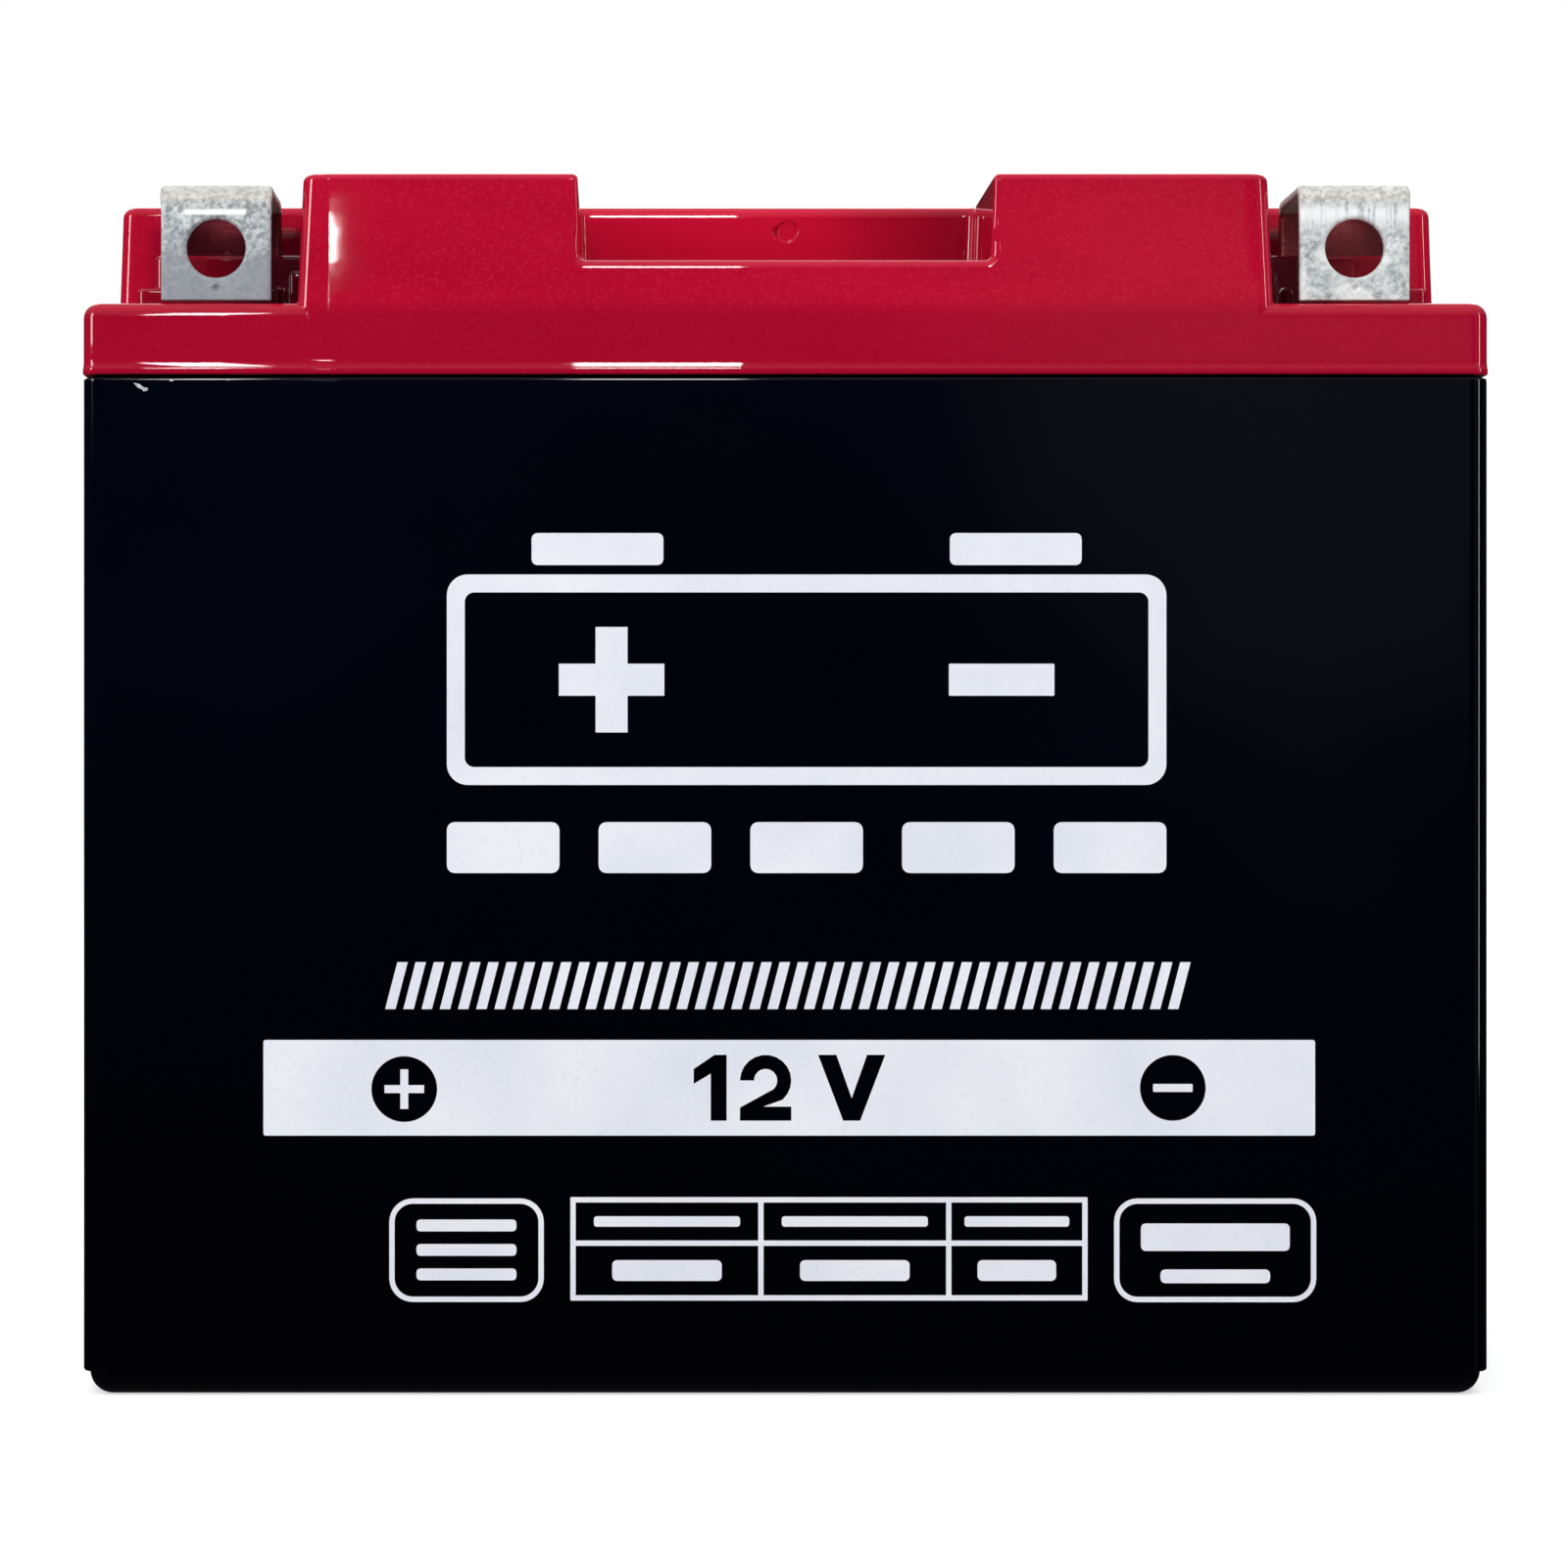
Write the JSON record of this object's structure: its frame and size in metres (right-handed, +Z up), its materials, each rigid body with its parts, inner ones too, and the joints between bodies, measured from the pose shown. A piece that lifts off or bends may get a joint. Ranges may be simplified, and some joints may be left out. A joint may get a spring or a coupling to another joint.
{
  "type": "motorcycle battery",
  "caption": "Sealed rectangular motorcycle battery with a plain case, a stepped cover and folded-strip terminals in open bays at its front corners.",
  "frame": {"origin": "centre of the underside, on the surface the battery stands on", "axes": "+X along the length, towards the negative terminal; +Y across the width, from the terminal side to the rear; +Z up"},
  "size_m": [0.15, 0.069, 0.13],
  "materials": {
    "case_black": "glossy moulded black, faintly blue, with soft large-scale waviness",
    "cover_red": "glossy moulded red",
    "terminal_metal": "tin-plated strip, dull grey with pressed and rubbed marks",
    "lead_grey": "cast lead alloy, dull",
    "positive_plate": "dark brown lead dioxide paste on a lead grid",
    "negative_plate": "grey spongy lead paste on a lead grid",
    "glass_mat": "white felted glass-fibre mat",
    "rubber_black": "matte black moulded rubber",
    "filter_white": "off-white sintered porous plastic",
    "resin_red": "cast red epoxy resin",
    "resin_black": "cast black epoxy resin"
  },
  "bodies": {
    "battery": {"case": "case_black", "cover": "cover_red", "vent_lid": "cover_red", "flame_filter": "filter_white", "positive_terminal": "terminal_metal", "positive_post": "lead_grey", "positive_post_seal": "rubber_black", "negative_terminal": "terminal_metal", "negative_post": "lead_grey", "negative_post_seal": "rubber_black", "positive_resin_seal": "resin_red", "negative_resin_seal": "resin_black", "positive_plates_1": "positive_plate", "negative_plates_1": "negative_plate", "glass_mat_1": "glass_mat", "positive_plates_2": "positive_plate", "negative_plates_2": "negative_plate", "glass_mat_2": "glass_mat", "positive_plates_3": "positive_plate", "negative_plates_3": "negative_plate", "glass_mat_3": "glass_mat", "positive_plates_4": "positive_plate", "negative_plates_4": "negative_plate", "glass_mat_4": "glass_mat", "positive_plates_5": "positive_plate", "negative_plates_5": "negative_plate", "glass_mat_5": "glass_mat", "positive_plates_6": "positive_plate", "negative_plates_6": "negative_plate", "glass_mat_6": "glass_mat", "cell_link_1_2": "lead_grey", "cell_link_2_3": "lead_grey", "cell_link_3_4": "lead_grey", "cell_link_4_5": "lead_grey", "cell_link_5_6": "lead_grey"},
    "valve_1": {"valve_cap_1": "rubber_black"},
    "valve_2": {"valve_cap_2": "rubber_black"},
    "valve_3": {"valve_cap_3": "rubber_black"},
    "valve_4": {"valve_cap_4": "rubber_black"},
    "valve_5": {"valve_cap_5": "rubber_black"},
    "valve_6": {"valve_cap_6": "rubber_black"}
  },
  "joints": [
    {"name": "valve_lift_1", "type": "slide", "parent": "battery", "child": "valve_1", "axis": [0, 0, 1], "range_m": [0, 0.0005], "stiffness_N_per_m": 500, "springref_m": -0.002},
    {"name": "valve_lift_2", "type": "slide", "parent": "battery", "child": "valve_2", "axis": [0, 0, 1], "range_m": [0, 0.0005], "stiffness_N_per_m": 500, "springref_m": -0.002},
    {"name": "valve_lift_3", "type": "slide", "parent": "battery", "child": "valve_3", "axis": [0, 0, 1], "range_m": [0, 0.0005], "stiffness_N_per_m": 500, "springref_m": -0.002},
    {"name": "valve_lift_4", "type": "slide", "parent": "battery", "child": "valve_4", "axis": [0, 0, 1], "range_m": [0, 0.0005], "stiffness_N_per_m": 500, "springref_m": -0.002},
    {"name": "valve_lift_5", "type": "slide", "parent": "battery", "child": "valve_5", "axis": [0, 0, 1], "range_m": [0, 0.0005], "stiffness_N_per_m": 500, "springref_m": -0.002},
    {"name": "valve_lift_6", "type": "slide", "parent": "battery", "child": "valve_6", "axis": [0, 0, 1], "range_m": [0, 0.0005], "stiffness_N_per_m": 500, "springref_m": -0.002}
  ]
}
